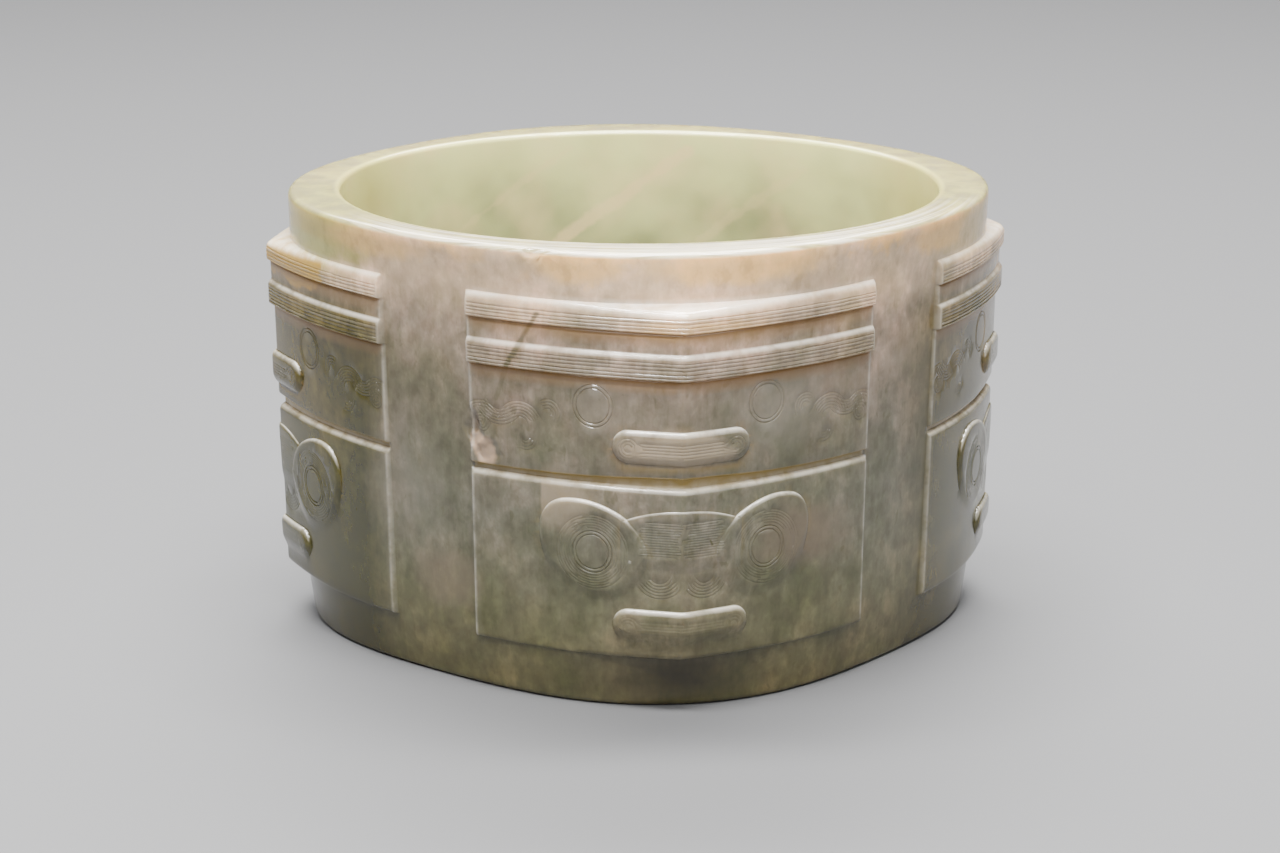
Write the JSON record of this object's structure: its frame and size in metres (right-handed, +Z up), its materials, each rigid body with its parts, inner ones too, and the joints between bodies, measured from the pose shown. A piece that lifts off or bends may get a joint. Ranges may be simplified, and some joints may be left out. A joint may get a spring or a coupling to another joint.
{
  "type": "jade cong",
  "caption": "Squat ritual jade tube, round inside and nearly square outside, with stepped corner blocks carved in registers of bands and mask faces.",
  "frame": {"origin": "on the axis of the bore, in the plane of the foot that it stands on", "axes": "+Z up along the bore, from the narrower foot to the wider rim; +X and +Y point at the middles of two sides, so the corner ridges lie at 45 degrees between them"},
  "size_m": [0.0796, 0.0796, 0.052],
  "materials": {
    "jade": "polished, waxy and slightly translucent"
  },
  "bodies": {
    "root": {"cong": "jade"}
  },
  "joints": []
}
